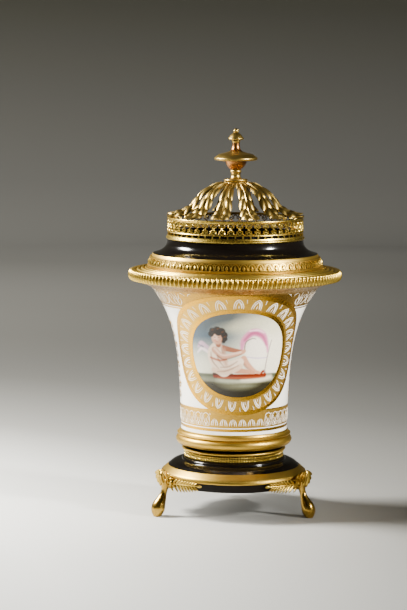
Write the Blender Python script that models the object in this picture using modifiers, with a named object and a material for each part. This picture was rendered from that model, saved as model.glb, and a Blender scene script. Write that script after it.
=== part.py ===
"""Porcelain perfume burner: a trumpet-shaped vase on a three-legged base, under a pierced cover.

Metres, +Z up. The origin is on the floor, on the vase's own axis, and the front faces -Y.
Outlines are written in millimetres as (radius, height above the floor) and scaled by MM.
"""

import math

import bmesh
import bpy
from mathutils import Matrix, Vector

MM = 0.001
COLLECTION = "perfume_burner"
GAP = 0.3  # clearance between neighbouring pieces
SEGMENTS = 32  # facets round the large turned pieces
WALL = 4.0  # porcelain wall thickness

# heights at which one piece rests on the next
BASE_TOP = 50.8
VASE_FOOT = 57.8
VASE_NECK = 81.4
VASE_SHOULDER = 211.3
RIM_TOP = 229.9
COLLAR_TOP = 255.7
GALLERY_TOP = 276.6
BUTTON_TOP = 311.9
OVERALL_HEIGHT = 358.8

# the vase
NECK_RADIUS = 49.8
FLARE_TAPER = 5.0  # steady widening from neck to shoulder
FLARE_TRUMPET = 23.4  # further widening that gathers near the top
FLARE_POWER = 4
LIP_RADIUS = 95.0
TORUS_RADIUS = 54.8

# the gadrooned rim, the widest piece
RIM_RADIUS = 100.0
RIM_INNER = 76.5

# the cover
BAND_RADIUS = 63.6
BAND_INNER = 61.8
FLANGE_RADIUS = 64.8
GALLERY_SEGMENTS = 48
WINDOW = 4.2  # side of a pierced window
WINDOW_HEIGHT = 268.6
LEAVES = 12
LEAF_THICKNESS = 1.1
LEAF_RIB = 1.2  # how far the rib stands above the edges
BUTTON_RADIUS = 11.0

# the base and legs
BASE_RIM_RADIUS = 68.1
BASE_BAND_RADIUS = 63.8
BASE_BOTTOM = 25.9
LEG_DIRECTIONS = {"leg_front_left": -150.0, "leg_front_right": -30.0, "leg_back": 90.0}
FOOT_RADIUS = 6.9
FOOT_CENTRE = 82.0
WING_REACH = 31.0  # degrees that each leaf wing wraps the base
WING_HEIGHT = 8.6
WING_THICKNESS = 1.9

ORMOLU = (0.72, 0.47, 0.14)
BLACK_GLAZE = (0.012, 0.010, 0.008)
WHITE_GLAZE = (0.86, 0.82, 0.72)


def clear_scene():
    for item in list(bpy.data.objects):
        bpy.data.objects.remove(item, do_unlink=True)


def new_collection(name, parent):
    collection = bpy.data.collections.new(name)
    parent.children.link(collection)
    return collection


def new_material(name, colour, roughness, metallic):
    material = bpy.data.materials.new(name)
    material.use_nodes = True
    shader = material.node_tree.nodes["Principled BSDF"]
    shader.inputs["Base Color"].default_value = (*colour, 1.0)
    shader.inputs["Roughness"].default_value = roughness
    shader.inputs["Metallic"].default_value = metallic
    material.diffuse_color = (*colour, 1.0)
    return material


def new_object(name, mesh, collection, material=None):
    item = bpy.data.objects.new(name, mesh)
    collection.objects.link(item)
    if material:
        item.data.materials.append(material)
    return item


def arc(centre, radius, start, end, steps):
    """Points round part of a circle, from one angle to another in degrees."""
    angles = [math.radians(start + (end - start) * i / steps) for i in range(steps + 1)]
    return [(centre[0] + radius * math.cos(a), centre[1] + radius * math.sin(a)) for a in angles]


def smooth(points, steps):
    """A flowing curve through the points, with the given number of steps between two of them."""
    ends = [points[0], *points, points[-1]]
    curve = [points[0]]
    for before, start, end, after in zip(ends, ends[1:], ends[2:], ends[3:]):
        for step in range(1, steps + 1):
            t = step / steps
            curve.append(tuple(
                0.5 * (2 * b + (c - a) * t + (2 * a - 5 * b + 4 * c - d) * t * t
                       + (3 * b - a - 3 * c + d) * t ** 3)
                for a, b, c, d in zip(before, start, end, after)))
    return curve


def turned(name, outline, collection, material, segments=SEGMENTS, closed=False):
    """A turned piece: an outline that runs down its outer side, swept round the Z axis."""
    bm = bmesh.new()
    points = [bm.verts.new((radius * MM, 0.0, height * MM)) for radius, height in outline]
    for start, end in zip(points, points[1:]):
        bm.edges.new((start, end))
    if closed:
        bm.edges.new((points[-1], points[0]))
    mesh = bpy.data.meshes.new(name)
    bm.to_mesh(mesh)
    bm.free()
    item = new_object(name, mesh, collection, material)
    screw = item.modifiers.new("turn", "SCREW")
    screw.angle = math.tau
    screw.steps = segments
    screw.render_steps = segments
    screw.use_merge_vertices = True
    screw.merge_threshold = 0.00001
    return item


def baked(item):
    """The object with its modifiers applied."""
    mesh = bpy.data.meshes.new_from_object(item.evaluated_get(bpy.context.evaluated_depsgraph_get()))
    item.modifiers.clear()
    item.data = mesh
    return item


def as_mesh(curve_object, collection):
    """A mesh object made from a curve object, with its end caps welded on."""
    depsgraph = bpy.context.evaluated_depsgraph_get()
    mesh = bpy.data.meshes.new_from_object(curve_object.evaluated_get(depsgraph))
    item = new_object(curve_object.name, mesh, collection)
    item.matrix_world = curve_object.matrix_world.copy()
    bpy.data.objects.remove(curve_object, do_unlink=True)
    bm = bmesh.new()
    bm.from_mesh(mesh)
    bmesh.ops.remove_doubles(bm, verts=bm.verts, dist=0.00001)
    bmesh.ops.recalc_face_normals(bm, faces=bm.faces)
    bm.to_mesh(mesh)
    bm.free()
    return item


def combine(item, other, operation, own_overlaps=False):
    modifier = item.modifiers.new(operation.lower(), "BOOLEAN")
    modifier.operation = operation
    modifier.solver = "EXACT"
    modifier.use_self = own_overlaps
    modifier.object = other
    other.hide_render = True
    other.display_type = "WIRE"
    return modifier


def tube(name, points, collection, resolution=2):
    """A round bar along points (x, y, z, radius), all in millimetres."""
    data = bpy.data.curves.new(name, "CURVE")
    data.dimensions = "3D"
    data.bevel_depth = MM
    data.bevel_resolution = resolution
    data.use_fill_caps = True
    spline = data.splines.new("POLY")
    spline.points.add(len(points) - 1)
    for target, (x, y, z, radius) in zip(spline.points, points):
        target.co = (x * MM, y * MM, z * MM, 1.0)
        target.radius = radius
    item = bpy.data.objects.new(name, data)
    collection.objects.link(item)
    bpy.context.view_layer.update()
    return as_mesh(item, collection)


def flare_radius(height):
    """Outer radius of the vase's trumpet wall."""
    t = (height - VASE_NECK) / (VASE_SHOULDER - VASE_NECK)
    return NECK_RADIUS + FLARE_TAPER * t + FLARE_TRUMPET * t ** FLARE_POWER


def build_vase(collection, material):
    """The porcelain vase: hollow, with a spreading lip above and a moulded foot below."""
    heights = [VASE_SHOULDER - 2.6, 199, 187, 173, 155, 128, VASE_NECK]
    outside = [(flare_radius(height), height) for height in heights]
    inside = [(flare_radius(height) - WALL, height) for height in (140, 173, 193, VASE_SHOULDER - 2)]
    floor = VASE_FOOT + 8.0
    well = [(0, floor), (NECK_RADIUS - WALL - 5, floor), (NECK_RADIUS - WALL, floor + 6)]
    lip = [
        (79.5, VASE_SHOULDER + 6), (80.5, 221.6), (LIP_RADIUS - 3, 220.4), (LIP_RADIUS, 218.4),
        (88.1, 215.3), (80.4, 212.4)]
    moulding = [(50.0, 77.8), (52.4, 75.6), (52.0, 73.8), (53.8, 71.6)]
    torus = arc((TORUS_RADIUS - 6.2, 65.6), 6.2, 40, -80, 4)
    underside = [(46.0, VASE_FOOT + 1.6), (44.0, VASE_FOOT), (0, VASE_FOOT)]
    return turned(
        "vase_body", well + inside + lip + outside + moulding + torus + underside, collection, material)


def build_rim(collection, material):
    """The gadrooned rim that caps the vase's lip and carries the cover."""
    steps = [(RIM_INNER, RIM_TOP), (82.4, RIM_TOP), (88.9, 229.2), (93.6, 227.8)]
    roll = arc((RIM_RADIUS - 4.9, 222.7), 4.9, 62, -62, 4)
    underside = [(95.8, 218.7), (93.0, 221.2), (81.2, 222.2), (80.0, 221.8), (RIM_INNER, 224.0)]
    return turned("gadrooned_rim", steps + roll + underside, collection, material, closed=True)


def build_collar(collection, material):
    """The porcelain collar: a concave shoulder above a gilt frieze, open through the middle."""
    bottom = RIM_TOP + GAP
    frieze = [(77.8, 242.0), (80.0, 237.4), (81.9, bottom)]
    shoulder = smooth([(63.6, COLLAR_TOP), (64.3, 250.8), (69.7, 245.6), (76.4, 242.6)], 2)
    inside = [(81.9 - WALL, bottom), (77.8 - WALL, 239.0), (66.5, 242.4), (61.0, 247.6),
              (63.6 - WALL, COLLAR_TOP)]
    return turned("collar", shoulder + frieze + inside, collection, material, closed=True)


def build_gallery(collection, cutters, material):
    """The upright pierced band with its rounded foot flange."""
    bottom = COLLAR_TOP + GAP
    outline = [
        (BAND_INNER, GALLERY_TOP), (BAND_RADIUS, GALLERY_TOP), (BAND_RADIUS, 260.6),
        (FLANGE_RADIUS, 259.2), (FLANGE_RADIUS, bottom), (BAND_INNER, bottom)]
    gallery = turned("gallery", outline, collection, material, GALLERY_SEGMENTS, closed=True)
    bm = bmesh.new()
    for index in range(GALLERY_SEGMENTS):
        place = (Matrix.Rotation(math.tau * (index + 0.5) / GALLERY_SEGMENTS, 4, "Z")
                 @ Matrix.Translation((BAND_RADIUS * MM, 0, WINDOW_HEIGHT * MM))
                 @ Matrix.Rotation(math.radians(45), 4, "X")
                 @ Matrix.Diagonal((8 * MM, WINDOW * MM, WINDOW * MM, 1)))
        bmesh.ops.create_cube(bm, size=1.0, matrix=place)
    mesh = bpy.data.meshes.new("gallery_windows")
    bm.to_mesh(mesh)
    bm.free()
    combine(gallery, new_object("gallery_windows", mesh, cutters), "DIFFERENCE")
    return gallery


def leaf_half_width(t):
    """Half the width of a dome leaf, from the button (0) to the tip (1), scalloped into lobes."""
    body = 2.0 + 7.9 * t ** 0.8
    tip = math.sqrt(max(0.0, 1 - ((t - 0.86) / 0.145) ** 2)) if t > 0.86 else 1.0
    lobes = 1.0 + 0.07 * math.cos(t * math.tau * 5.5)
    return max(body * tip * lobes, 1.2)


def build_leaf_dome(collection, cutters, material):
    """Twelve acanthus leaves that sweep from under a button down to the gallery's edge."""
    spine = smooth(
        [(9.4, 308.8), (18.6, 306.6), (32.6, 297.6), (40.5, 287.4), (48.5, 281.6), (64.6, 279.0)], 2)
    leaf = bmesh.new()
    bmesh.ops.create_grid(leaf, x_segments=len(spine) - 1, y_segments=2, size=0.5)
    for vert in leaf.verts:
        station = round((vert.co.x + 0.5) * (len(spine) - 1))
        side = vert.co.y * 2
        radius, height = spine[station]
        half = leaf_half_width(station / (len(spine) - 1))
        drop = LEAF_RIB * abs(side) * (1 - 0.5 * station / (len(spine) - 1))
        vert.co = Vector((radius, side * half, height - drop)) * MM
    leaf.normal_update()
    bmesh.ops.solidify(leaf, geom=leaf.faces[:], thickness=LEAF_THICKNESS * MM)
    bmesh.ops.recalc_face_normals(leaf, faces=leaf.faces)
    mesh = bpy.data.meshes.new("dome_leaves")
    leaf.to_mesh(mesh)
    leaf.clear()
    for index in range(LEAVES):
        start = len(leaf.verts)
        leaf.from_mesh(mesh)
        leaf.verts.ensure_lookup_table()
        bmesh.ops.rotate(
            leaf, verts=leaf.verts[start:], cent=(0, 0, 0),
            matrix=Matrix.Rotation(math.tau * (index + 0.5) / LEAVES, 3, "Z"))
    leaf.to_mesh(mesh)
    leaf.free()
    leaves = new_object("dome_leaves", mesh, cutters)
    button = turned(
        "leaf_dome",
        [(0, BUTTON_TOP), (BUTTON_RADIUS - 1.2, BUTTON_TOP), (BUTTON_RADIUS, BUTTON_TOP - 1.2),
         (BUTTON_RADIUS, 308.2), (BUTTON_RADIUS - 1.0, 306.4), (0, 306.4)],
        collection, material, segments=24)
    combine(button, leaves, "UNION")
    return button


def build_finial(collection, material):
    """The turned finial: stem, cup and saucer, then a slender stem with a bell and a ball."""
    foot = [(4.6, BUTTON_TOP + GAP), (4.3, 317.4), (5.1, 319.0), (4.9, 320.6)]
    cup = [(6.5, 321.8), (9.6, 326.5), (10.4, 328.8)]
    saucer = [(19.1, 329.4), (20.2, 330.9), (17.4, 333.6), (10.2, 336.2), (5.2, 338.4)]
    stem = [(3.5, 342.3), (3.9, 347.6)]
    bell = [(7.3, 349.3), (6.2, 351.1), (4.2, 353.8), (3.3, 355.8)]
    top = [(2.2, OVERALL_HEIGHT - 0.9), (0, OVERALL_HEIGHT)]
    rising = [(0, BUTTON_TOP + GAP)] + foot + cup + saucer + stem + bell + top
    return turned("finial", rising[::-1], collection, material, segments=16)


def build_beaded_ring(collection, material):
    """The beaded ring between vase and base."""
    bottom = BASE_TOP + GAP
    top = VASE_FOOT - GAP
    outline = [
        (40, top), (46.6, top), (47.7, top - 1.0), (46.9, top - 2.2), (46.9, bottom + 2.4),
        (47.9, bottom + 1.2), (47.3, bottom), (40, bottom)]
    return turned("beaded_ring", outline, collection, material, closed=True)


def build_base(collection, material):
    """The porcelain base: a domed top, a spreading gilt edge and an upright band, hollow below."""
    dome = smooth([(46.3, BASE_TOP), (56.7, 46.6), (64.3, 39.8), (BASE_RIM_RADIUS, 34.0)], 2)
    band = [(BASE_RIM_RADIUS - 0.4, 33.0), (BASE_BAND_RADIUS, 32.6), (BASE_BAND_RADIUS - 0.8, BASE_BOTTOM)]
    hollow = [(BASE_BAND_RADIUS - 6, BASE_BOTTOM), (58.5, 36.0), (44.0, 44.5), (0, 45.0)]
    return turned("base", [(0, BASE_TOP)] + dome + band + hollow, collection, material)


def leaf_wing(collection):
    """The pair of leaves that spread from the knee and hug the base, as one curved plate."""
    steps = 14
    bm = bmesh.new()
    bmesh.ops.create_grid(bm, x_segments=steps, y_segments=2, size=0.5)
    for vert in bm.verts:
        along = vert.co.x * 2
        angle = math.radians(along * WING_REACH)
        up = vert.co.y * 2
        half = 0.5 * WING_HEIGHT * math.sqrt(max(0.02, 1 - abs(along) ** 3))
        lobes = 1.0 + 0.10 * math.cos(along * math.pi * steps / 2) * (up < 0)
        radius = BASE_BAND_RADIUS + GAP + 0.3 + WING_THICKNESS + 0.8 * (1 - abs(up))
        height = BASE_BOTTOM + 2.0 + up * half * lobes
        vert.co = Vector((radius * math.cos(angle), radius * math.sin(angle), height)) * MM
    bm.normal_update()
    bmesh.ops.solidify(bm, geom=bm.faces[:], thickness=WING_THICKNESS * MM)
    bmesh.ops.recalc_face_normals(bm, faces=bm.faces)
    mesh = bpy.data.meshes.new("leg_wing")
    bm.to_mesh(mesh)
    bm.free()
    return new_object("leg_wing", mesh, collection)


def build_legs(collection, cutters, material):
    """Three cast legs: a knee with leaf wings, a slender ankle and a drop-shaped foot."""
    bend = smooth(
        [(75.4, 42.0, 3.0), (75.5, 37.0, 6.6), (74.4, 29.5, 4.9), (73.4, 22.0, 2.9),
         (77.0, 13.0, 4.4), (FOOT_CENTRE, 6.6, FOOT_RADIUS), (83.2, 1.6, 5.4), (83.4, -2.0, 4.0)], 2)
    leg = tube("leg_stem", [(r, 0, z, size) for r, z, size in bend], collection)
    bm = bmesh.new()
    bm.from_mesh(leg.data)
    cut = bmesh.ops.bisect_plane(
        bm, geom=bm.verts[:] + bm.edges[:] + bm.faces[:], plane_co=(0, 0, 0), plane_no=(0, 0, -1),
        clear_outer=True)
    rim = [edge for edge in cut["geom_cut"] if isinstance(edge, bmesh.types.BMEdge)]
    bmesh.ops.contextual_create(bm, geom=rim)
    bmesh.ops.recalc_face_normals(bm, faces=bm.faces)
    bm.to_mesh(leg.data)
    bm.free()
    bracket = tube("leg_bracket", [(BASE_BAND_RADIUS + 1.4, 0, 28.2, 3.9), (75.0, 0, 29.5, 3.9)], cutters)
    combine(leg, bracket, "UNION")
    combine(leg, leaf_wing(cutters), "UNION")
    baked(leg)
    leg.data.materials.clear()
    leg.data.materials.append(material)
    for name, direction in LEG_DIRECTIONS.items():
        item = bpy.data.objects.new(name, leg.data)
        item.rotation_euler = (0, 0, math.radians(direction))
        collection.objects.link(item)
    bpy.data.objects.remove(leg, do_unlink=True)


def build():
    clear_scene()
    scene_collection = bpy.context.scene.collection
    collection = new_collection(COLLECTION, scene_collection)
    cutters = new_collection("construction", scene_collection)
    ormolu = new_material("gilt_bronze", ORMOLU, 0.3, 1.0)
    black = new_material("black_glazed_porcelain", BLACK_GLAZE, 0.08, 0.0)
    white = new_material("white_glazed_porcelain", WHITE_GLAZE, 0.12, 0.0)
    build_legs(collection, cutters, ormolu)
    build_base(collection, black)
    build_beaded_ring(collection, ormolu)
    build_vase(collection, white)
    build_rim(collection, ormolu)
    build_collar(collection, black)
    build_gallery(collection, cutters, ormolu)
    build_leaf_dome(collection, cutters, ormolu)
    build_finial(collection, ormolu)


build()
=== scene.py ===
"""Porcelain perfume burner: the looks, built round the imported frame.

Every shape is modelled in millimetres as (radius, height) or (x, y, z), +Z up and the front facing -Y,
and is scaled to metres when it becomes a piece. Gilding and enamel are drawn flat, with x round the
vase and y as height, and then wrapped on the wall that carries them.
"""

from math import atan2, cos, dist, exp, hypot, inf, pi, radians, sin, sqrt, tau

import bmesh
import bpy
import numpy as np
from mathutils import Matrix, Vector


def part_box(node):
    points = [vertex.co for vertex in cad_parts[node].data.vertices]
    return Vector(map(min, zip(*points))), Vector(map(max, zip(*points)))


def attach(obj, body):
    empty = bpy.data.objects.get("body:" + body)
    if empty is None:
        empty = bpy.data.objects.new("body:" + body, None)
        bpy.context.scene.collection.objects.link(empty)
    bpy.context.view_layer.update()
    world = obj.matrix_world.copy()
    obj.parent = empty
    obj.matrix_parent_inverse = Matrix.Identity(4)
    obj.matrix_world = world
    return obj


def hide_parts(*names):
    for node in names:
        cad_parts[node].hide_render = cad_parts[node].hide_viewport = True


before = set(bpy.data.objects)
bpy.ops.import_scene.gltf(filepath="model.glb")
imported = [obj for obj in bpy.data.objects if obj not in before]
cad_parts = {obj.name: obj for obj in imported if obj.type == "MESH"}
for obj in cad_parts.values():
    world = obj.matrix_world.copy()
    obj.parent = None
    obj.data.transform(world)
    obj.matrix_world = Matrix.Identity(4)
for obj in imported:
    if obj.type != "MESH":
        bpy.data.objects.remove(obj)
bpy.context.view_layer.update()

MM = 0.001
FINE = 240  # facets round the large turned pieces
SMALL = 96  # facets round the small ones


def levels(node):
    """A CAD piece's lowest and highest point and its greatest reach to the side, in millimetres."""
    low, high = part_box(node)
    return low.z / MM, high.z / MM, high.x / MM


BASE_LOW, BASE_TOP, BASE_RADIUS = levels("base")
RING_LOW, RING_TOP, _ = levels("beaded_ring")
VASE_LOW, LIP_TOP, LIP_RADIUS = levels("vase_body")
RIM_LOW, RIM_TOP, _ = levels("gadrooned_rim")
COLLAR_LOW, COLLAR_TOP, COLLAR_RADIUS = levels("collar")
GALLERY_LOW, GALLERY_TOP, FLANGE_RADIUS = levels("gallery")
_, BUTTON_TOP, _ = levels("leaf_dome")
FINIAL_LOW, FINIAL_TOP, _ = levels("finial")

# the vase's wall
WALL = 4.0
NECK = VASE_LOW + 23.6  # where the flare starts, above the gilt foot
SHOULDER = LIP_TOP - 10.3  # where the lip turns out
NECK_RADIUS = 49.8
WRAP_RADIUS = 55.0  # the wall's radius where a flat drawing keeps its true width

# the painted panel and its frame, as ovals on the wall
PANEL_TURN = 4.0  # degrees from the front, towards +X
PANEL_CENTRE = VASE_LOW + 95.8
PANEL_HALF = (46.4, 40.2)
FRAME_HALF = (68.6, 56.8)
LINE_WIDTH = 2.9  # the burnished lines each side of the frame

# bands round the vase
LOWER_BAND = (VASE_LOW + 26.8, VASE_LOW + 43.9)
UPPER_BAND = (LIP_TOP - 25.0, LIP_TOP - 5.0)


# ---------------------------------------------------------------- shapes

def arc(centre, radius, start, end, steps):
    """Points round part of a circle, from one angle to another in degrees."""
    angles = [radians(start + (end - start) * i / steps) for i in range(steps + 1)]
    return [(centre[0] + radius * cos(a), centre[1] + radius * sin(a)) for a in angles]


def above(level, outline):
    """An outline of (radius, height) whose heights count from a level."""
    return [(radius, level + height) for radius, height in outline]


def smooth(points, steps=6):
    """A flowing curve through the points, with the given number of steps between two of them."""
    ends = [points[0], *points, points[-1]]
    curve = [tuple(points[0])]
    for before, start, end, after in zip(ends, ends[1:], ends[2:], ends[3:]):
        for step in range(1, steps + 1):
            t = step / steps
            curve.append(tuple(
                0.5 * (2 * b + (c - a) * t + (2 * a - 5 * b + 4 * c - d) * t * t
                       + (3 * b - a - 3 * c + d) * t ** 3)
                for a, b, c, d in zip(before, start, end, after)))
    return curve


def step_up(value, start, end):
    """0 below start and 1 above end, with an eased slope between."""
    t = min(1.0, max(0.0, (value - start) / (end - start)))
    return t * t * (3 - 2 * t)


def turned(outline, steps=FINE, closed=False, angle=tau):
    """An outline of (radius, height) swept round the Z axis, once or through part of a turn."""
    bm = bmesh.new()
    points = [bm.verts.new((radius, 0.0, height)) for radius, height in outline]
    edges = [bm.edges.new(pair) for pair in zip(points, points[1:])]
    if closed:
        edges.append(bm.edges.new((points[-1], points[0])))
    bmesh.ops.spin(
        bm, geom=points + edges, cent=(0, 0, 0), axis=(0, 0, 1), angle=angle, steps=steps,
        use_merge=angle == tau)
    return welded(bm)


def welded(bm):
    """Merges the points that meet and turns the faces outwards."""
    bmesh.ops.remove_doubles(bm, verts=bm.verts, dist=0.0005)
    bmesh.ops.recalc_face_normals(bm, faces=bm.faces)
    return bm


def around(bm, count):
    """Repeats everything in the mesh so that there are that many copies round the Z axis."""
    bmesh.ops.spin(
        bm, geom=bm.verts[:] + bm.edges[:] + bm.faces[:], cent=(0, 0, 0), axis=(0, 0, 1),
        angle=tau * (count - 1) / count, steps=count - 1, use_duplicate=True)
    return bm


def swung(bm, degrees):
    """Turns everything in the mesh about the Z axis."""
    turn = Matrix.Rotation(radians(degrees), 3, "Z")
    bmesh.ops.rotate(bm, cent=(0, 0, 0), matrix=turn, verts=bm.verts)


def added(bm, other):
    """Adds the second mesh to the first and frees it."""
    mesh = bpy.data.meshes.new("part")
    other.to_mesh(mesh)
    other.free()
    bm.from_mesh(mesh)
    bpy.data.meshes.remove(mesh)
    return bm


def bars(paths, resolution=2):
    """Round bars along paths of (x, y, z, radius), all in one mesh, with closed ends."""
    data = bpy.data.curves.new("bars", "CURVE")
    data.dimensions = "3D"
    data.bevel_depth = 1.0
    data.bevel_resolution = resolution
    data.use_fill_caps = True
    for path in paths:
        spline = data.splines.new("POLY")
        spline.points.add(len(path) - 1)
        for target, (x, y, z, radius) in zip(spline.points, path):
            target.co = (x, y, z, 1.0)
            target.radius = radius
    item = shown("bars", data)
    bpy.context.view_layer.update()
    mesh = bpy.data.meshes.new_from_object(item.evaluated_get(bpy.context.evaluated_depsgraph_get()))
    bm = bmesh.new()
    bm.from_mesh(mesh)
    bpy.data.objects.remove(item)
    bpy.data.meshes.remove(mesh)
    return welded(bm)


def bead(place, radius, sides=8, rings=5):
    """A small ball at a place, with few faces because there are many of them."""
    bm = bmesh.new()
    bmesh.ops.create_uvsphere(
        bm, u_segments=sides, v_segments=rings, radius=radius, matrix=Matrix.Translation(place))
    return bm


def shown(name, data):
    """Puts a mesh, a curve, a light or a camera in the scene."""
    item = bpy.data.objects.new(name, data)
    bpy.context.scene.collection.objects.link(item)
    return item


def solid(name, bm):
    """Puts a mesh of millimetres in the scene in metres, smooth-shaded."""
    bmesh.ops.scale(bm, vec=(MM, MM, MM), verts=bm.verts)
    mesh = bpy.data.meshes.new(name)
    bm.to_mesh(mesh)
    bm.free()
    mesh.shade_smooth()
    return shown(name, mesh)


def piece(name, bm, materials, replaced=(), sharp=40.0):
    """Makes a finished piece of a mesh of millimetres, riding on the burner's one body."""
    item = solid(name, bm)
    item.data.set_sharp_from_angle(angle=radians(sharp))
    for material in materials:
        item.data.materials.append(material)
    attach(item, "root")
    if replaced:
        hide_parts(*replaced)
    return item


def zone(bm, low, high, outside=0.0, inside=lambda height: inf, index=1):
    """Gives the faces between two heights, outside one radius and inside another that may change with
    the height, the piece's second material, or the one at an index."""
    for face in bm.faces:
        centre = face.calc_center_median()
        if low < centre.z < high and outside < hypot(centre.x, centre.y) < inside(centre.z):
            face.material_index = index


def inner_faces(bm, height):
    """Gives the faces that look towards a point on the axis the piece's second material."""
    bm.normal_update()
    for face in bm.faces:
        away = face.calc_center_median() - Vector((0, 0, height))
        if face.normal.dot(away) < -0.2 * away.length:
            face.material_index = 1


# ---------------------------------------------------------------- finishes

def linear(code):
    """A hex sRGB colour as linear RGBA."""
    parts = [int(code[i:i + 2], 16) / 255 for i in (1, 3, 5)]
    return (*[c / 12.92 if c <= 0.04045 else ((c + 0.055) / 1.055) ** 2.4 for c in parts], 1.0)


def add(material, kind, inputs, **settings):
    """Adds a shader node with its settings. An input is a value, or (node, output) to link from."""
    tree = material.node_tree
    made = tree.nodes.new("ShaderNode" + kind)
    for name, value in settings.items():
        setattr(made, name, value)
    for name, value in inputs.items():
        if isinstance(value, tuple) and isinstance(value[0], bpy.types.Node):
            tree.links.new(value[0].outputs[value[1]], made.inputs[name])
        else:
            made.inputs[name].default_value = value
    return made


def finish(name, inputs):
    """A material whose Principled shader has these plain values, its shader node and its coordinates."""
    material = bpy.data.materials.new(name)
    material.use_nodes = True
    shader = material.node_tree.nodes["Principled BSDF"]
    for key, value in inputs.items():
        shader.inputs[key].default_value = value
    return material, shader, add(material, "TexCoord", {})


def drive(material, shader, **sources):
    """Links node outputs to the shader's inputs, named with _ for a space."""
    for key, (node, output) in sources.items():
        material.node_tree.links.new(node.outputs[output], shader.inputs[key.replace("_", " ")])


# sockets of a colour Mix node
FACTOR, FIRST, SECOND, MIXED = 0, 6, 7, 2


def per_metre(size_mm):
    """The scale that makes a pattern on Object coordinates repeat about every size_mm."""
    return 1.0 / (size_mm * MM)


def relief(material, shader, colour, pattern, middle, rough, lift, depth_mm, **more):
    """Gives the shader its colour, and makes one pattern both its roughness and its fine relief. The
    pattern's middle values run from the first roughness to the second."""
    roughness = add(material, "MapRange", {
        "Value": (pattern, "Fac"), "From Min": middle[0], "From Max": middle[1], "To Min": rough[0],
        "To Max": rough[1]})
    bump = add(material, "Bump", {
        "Height": (pattern, "Fac"), "Strength": lift, "Distance": depth_mm * MM})
    drive(material, shader, Base_Color=(colour, MIXED), Roughness=(roughness, "Result"),
          Normal=(bump, "Normal"), **more)
    return material


def gilt_bronze(name, bright, deep, hollow, rough, grain_mm, grain_lift):
    """Fire-gilt bronze. Rubbing leaves the gold bright where the hand reaches and dark and reddish in the
    hollows, and mercury gilding leaves a fine grain and slow changes of tone."""
    material, shader, at = finish(name, {"Metallic": 1.0})
    clouds = add(material, "TexNoise", {
        "Vector": (at, "Object"), "Scale": per_metre(9.0), "Detail": 3.0})
    grain = add(material, "TexNoise", {
        "Vector": (at, "Object"), "Scale": per_metre(grain_mm), "Detail": 2.0})
    tone = add(material, "Mix", {
        FACTOR: (clouds, "Fac"), FIRST: linear(bright), SECOND: linear(deep)}, data_type="RGBA")
    shape = add(material, "NewGeometry", {})
    hollows = add(material, "MapRange", {
        "Value": (shape, "Pointiness"), "From Min": 0.485, "From Max": 0.43, "To Min": 0.0, "To Max": 0.85})
    colour = add(material, "Mix", {
        FACTOR: (hollows, "Result"), FIRST: (tone, MIXED), SECOND: linear(hollow)}, data_type="RGBA")
    return relief(material, shader, colour, grain, (0.3, 0.7), (rough - 0.07, rough + 0.09), grain_lift, 0.1)


def porcelain(name, body, shade, gloss, rough):
    """Glazed hard-paste porcelain: a glassy coat that pools and dimples slightly over the body."""
    material, shader, at = finish(name, {"IOR": gloss})
    pools = add(material, "TexNoise", {
        "Vector": (at, "Object"), "Scale": per_metre(30.0), "Detail": 2.0})
    dimples = add(material, "TexNoise", {
        "Vector": (at, "Object"), "Scale": per_metre(4.0), "Detail": 1.0})
    colour = add(material, "Mix", {
        FACTOR: (pools, "Fac"), FIRST: linear(body), SECOND: linear(shade)}, data_type="RGBA")
    return relief(material, shader, colour, dimples, (0.0, 1.0), (rough - 0.02, rough + 0.05), 0.08, 0.2)


def gilding(name, bright, deep, rough, metal):
    """Fired gold on porcelain: a thin brushed coat, part matt and duller than metal, with pinholes."""
    material, shader, at = finish(name, {"IOR": 1.5})
    brushed = add(material, "Mapping", {
        "Vector": (at, "Object"), "Scale": (1.0, 1.0, 5.0)})
    streaks = add(material, "TexNoise", {
        "Vector": (brushed, "Vector"), "Scale": per_metre(3.0), "Detail": 4.0})
    specks = add(material, "TexNoise", {
        "Vector": (at, "Object"), "Scale": per_metre(1.1), "Detail": 1.0})
    colour = add(material, "Mix", {
        FACTOR: (streaks, "Fac"), FIRST: linear(bright), SECOND: linear(deep)}, data_type="RGBA")
    worn = add(material, "MapRange", {
        "Value": (specks, "Fac"), "From Min": 0.66, "From Max": 0.76, "To Min": metal,
        "To Max": 0.6 * metal})
    return relief(material, shader, colour, streaks, (0.3, 0.7), (rough - 0.05, rough + 0.08), 0.12, 0.05,
                  Metallic=(worn, "Result"))


def painted_glaze():
    """Enamel painting fired under a glossy glaze, which deepens the colours of the panel's attribute."""
    material, shader, at = finish("painted_enamel", {"IOR": 1.5})
    paint = add(material, "Attribute", {}, attribute_name="paint")
    brush = add(material, "TexNoise", {
        "Vector": (at, "Object"), "Scale": per_metre(1.6), "Detail": 2.0})
    value = add(material, "MapRange", {
        "Value": (brush, "Fac"), "From Min": 0.3, "From Max": 0.7, "To Min": 0.94, "To Max": 1.05})
    deep = add(material, "Gamma", {"Color": (paint, "Color"), "Gamma": 1.45})
    colour = add(material, "HueSaturation", {
        "Color": (deep, "Color"), "Saturation": 1.08, "Value": (value, "Result")})
    roughness = add(material, "MapRange", {
        "Value": (brush, "Fac"), "To Min": 0.12, "To Max": 0.22})
    drive(material, shader, Base_Color=(colour, "Color"), Roughness=(roughness, "Result"))
    return material


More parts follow.
